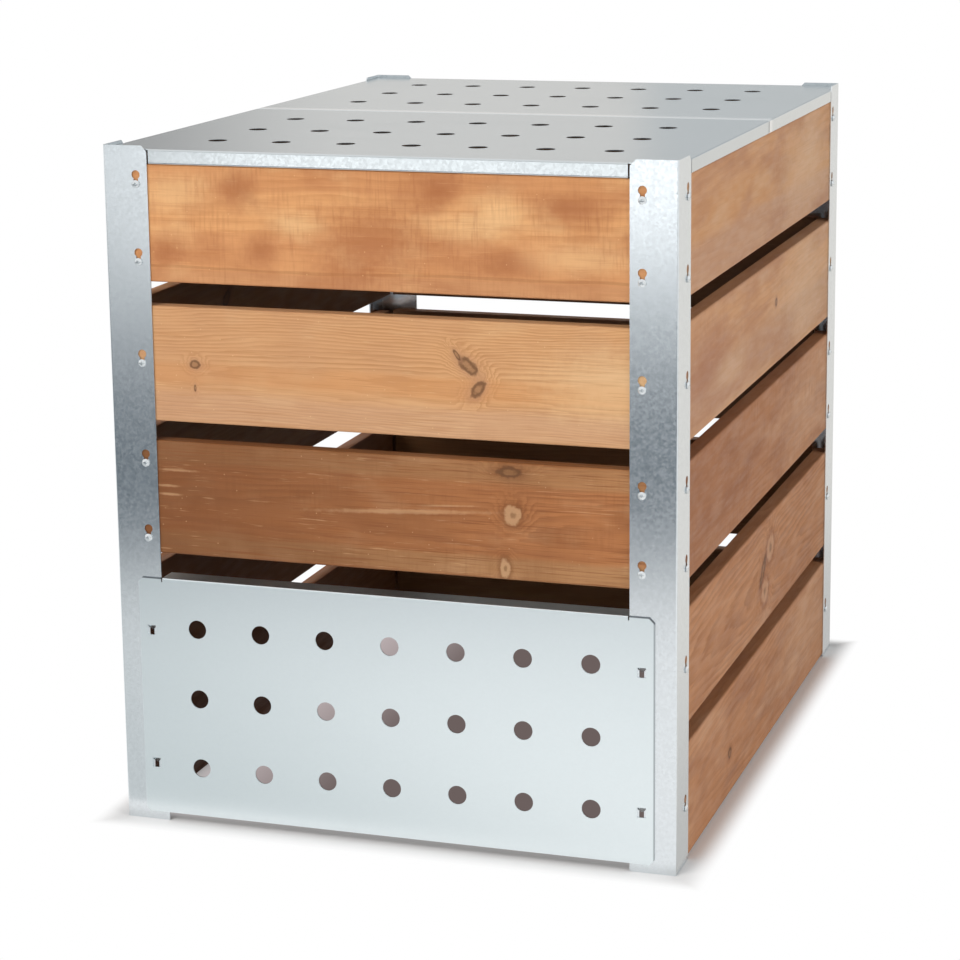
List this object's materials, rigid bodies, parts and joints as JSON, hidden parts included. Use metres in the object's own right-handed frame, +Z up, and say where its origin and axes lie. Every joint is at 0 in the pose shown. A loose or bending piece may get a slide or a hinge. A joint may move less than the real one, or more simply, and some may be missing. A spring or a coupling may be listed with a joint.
{
  "type": "compost bin",
  "caption": "Compost bin of boards hung by screws in keyholed galvanised corner posts, with perforated lift-off lids and a front emptying hatch.",
  "frame": {"origin": "on the floor under the middle of the bin", "axes": "+X to the right along the front, +Y from the hatch side to the back, +Z up"},
  "size_m": [0.6764, 0.9064, 0.8],
  "materials": {
    "galvanised_steel": "bright galvanised sheet, satin",
    "heat_treated_pine": "planed, oiled",
    "screw_steel": "zinc plated"
  },
  "bodies": {
    "bin_frame": {"post_front_left": "galvanised_steel", "post_front_right": "galvanised_steel", "post_rear_left": "galvanised_steel", "post_rear_right": "galvanised_steel", "front_board_1": "heat_treated_pine", "right_board_1": "heat_treated_pine", "rear_board_1": "heat_treated_pine", "left_board_1": "heat_treated_pine", "front_board_1_screws": "screw_steel", "right_board_1_screws": "screw_steel", "rear_board_1_screws": "screw_steel", "left_board_1_screws": "screw_steel"},
    "front_board_2": {"front_board_2": "heat_treated_pine", "front_board_2_screws": "screw_steel"},
    "front_board_3": {"front_board_3": "heat_treated_pine", "front_board_3_screws": "screw_steel"},
    "right_board_2": {"right_board_2": "heat_treated_pine", "right_board_2_screws": "screw_steel"},
    "right_board_3": {"right_board_3": "heat_treated_pine", "right_board_3_screws": "screw_steel"},
    "right_board_4": {"right_board_4": "heat_treated_pine", "right_board_4_screws": "screw_steel"},
    "right_board_5": {"right_board_5": "heat_treated_pine", "right_board_5_screws": "screw_steel"},
    "rear_board_2": {"rear_board_2": "heat_treated_pine", "rear_board_2_screws": "screw_steel"},
    "rear_board_3": {"rear_board_3": "heat_treated_pine", "rear_board_3_screws": "screw_steel"},
    "rear_board_4": {"rear_board_4": "heat_treated_pine", "rear_board_4_screws": "screw_steel"},
    "rear_board_5": {"rear_board_5": "heat_treated_pine", "rear_board_5_screws": "screw_steel"},
    "left_board_2": {"left_board_2": "heat_treated_pine", "left_board_2_screws": "screw_steel"},
    "left_board_3": {"left_board_3": "heat_treated_pine", "left_board_3_screws": "screw_steel"},
    "left_board_4": {"left_board_4": "heat_treated_pine", "left_board_4_screws": "screw_steel"},
    "left_board_5": {"left_board_5": "heat_treated_pine", "left_board_5_screws": "screw_steel"},
    "lid_front": {"lid_front": "galvanised_steel"},
    "lid_rear": {"lid_rear": "galvanised_steel"},
    "hatch": {"hatch": "galvanised_steel"}
  },
  "joints": [
    {"name": "lid_front_lift", "type": "slide", "parent": "bin_frame", "child": "lid_front", "axis": [0, 0, 1], "range_m": [0, 0.06]},
    {"name": "lid_rear_lift", "type": "slide", "parent": "bin_frame", "child": "lid_rear", "axis": [0, 0, 1], "range_m": [0, 0.06]},
    {"name": "hatch_draw", "type": "slide", "parent": "bin_frame", "child": "hatch", "axis": [0, -0.7071, 0.7071], "range_m": [0, 0.08]},
    {"name": "front_board_2_lift", "type": "slide", "parent": "bin_frame", "child": "front_board_2", "axis": [0, 0, 1], "range_m": [0, 0.0105]},
    {"name": "front_board_3_lift", "type": "slide", "parent": "bin_frame", "child": "front_board_3", "axis": [0, 0, 1], "range_m": [0, 0.0105]},
    {"name": "right_board_2_lift", "type": "slide", "parent": "bin_frame", "child": "right_board_2", "axis": [0, 0, 1], "range_m": [0, 0.0105]},
    {"name": "right_board_3_lift", "type": "slide", "parent": "bin_frame", "child": "right_board_3", "axis": [0, 0, 1], "range_m": [0, 0.0105]},
    {"name": "right_board_4_lift", "type": "slide", "parent": "bin_frame", "child": "right_board_4", "axis": [0, 0, 1], "range_m": [0, 0.0105]},
    {"name": "right_board_5_lift", "type": "slide", "parent": "bin_frame", "child": "right_board_5", "axis": [0, 0, 1], "range_m": [0, 0.0105]},
    {"name": "rear_board_2_lift", "type": "slide", "parent": "bin_frame", "child": "rear_board_2", "axis": [0, 0, 1], "range_m": [0, 0.0105]},
    {"name": "rear_board_3_lift", "type": "slide", "parent": "bin_frame", "child": "rear_board_3", "axis": [0, 0, 1], "range_m": [0, 0.0105]},
    {"name": "rear_board_4_lift", "type": "slide", "parent": "bin_frame", "child": "rear_board_4", "axis": [0, 0, 1], "range_m": [0, 0.0105]},
    {"name": "rear_board_5_lift", "type": "slide", "parent": "bin_frame", "child": "rear_board_5", "axis": [0, 0, 1], "range_m": [0, 0.0105]},
    {"name": "left_board_2_lift", "type": "slide", "parent": "bin_frame", "child": "left_board_2", "axis": [0, 0, 1], "range_m": [0, 0.0105]},
    {"name": "left_board_3_lift", "type": "slide", "parent": "bin_frame", "child": "left_board_3", "axis": [0, 0, 1], "range_m": [0, 0.0105]},
    {"name": "left_board_4_lift", "type": "slide", "parent": "bin_frame", "child": "left_board_4", "axis": [0, 0, 1], "range_m": [0, 0.0105]},
    {"name": "left_board_5_lift", "type": "slide", "parent": "bin_frame", "child": "left_board_5", "axis": [0, 0, 1], "range_m": [0, 0.0105]}
  ]
}
